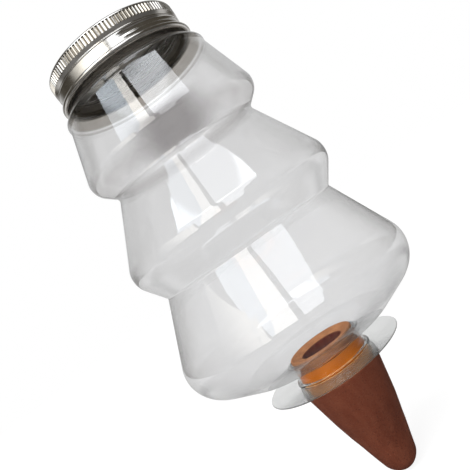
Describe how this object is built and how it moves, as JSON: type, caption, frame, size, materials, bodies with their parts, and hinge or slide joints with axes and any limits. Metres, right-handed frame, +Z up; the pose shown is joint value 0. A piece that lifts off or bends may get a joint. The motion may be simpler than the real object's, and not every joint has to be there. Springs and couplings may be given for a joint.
{
  "type": "plant waterer",
  "caption": "Clear tree-shaped bottle with a metal screw lid and a flanged spout, standing on a porous clay spike that lets water seep into the soil.",
  "frame": {"origin": "on the axis, at the underside of the flange that rests on the soil", "axes": "+Z up along the axis from the spike to the lid, +X and +Y level"},
  "size_m": [0.1224, 0.1224, 0.2431],
  "materials": {
    "terracotta": "rough, porous, unglazed",
    "amber_seal": "smooth",
    "clear_collar": "clear, glossy",
    "clear_bottle": "clear, glossy",
    "lid_liner": "soft, matte",
    "lid_metal": "bright, brushed by rolling"
  },
  "bodies": {
    "spike": {"spike": "terracotta", "seal_ring": "amber_seal"},
    "bottle": {"bottle": "clear_bottle", "spout_collar": "clear_collar"},
    "gasket": {"lid_gasket": "lid_liner"},
    "lid": {"lid_shell": "lid_metal"}
  },
  "joints": [
    {"name": "bottle_lift", "type": "slide", "parent": "spike", "child": "bottle", "axis": [0, 0, 1], "range_m": [0, 0.03]},
    {"name": "lid_rise", "type": "slide", "parent": "bottle", "child": "gasket", "axis": [0, 0, 1], "range_m": [0, 0.005]},
    {"name": "lid_turn", "type": "hinge", "parent": "gasket", "child": "lid", "pos_m": [0, 0, 0.175], "axis": [0, 0, 1], "range_deg": [0, 450]}
  ],
  "couplings": [
    {"joint": "lid_rise", "follows": "lid_turn", "m_per_rad": 0.00063662}
  ]
}
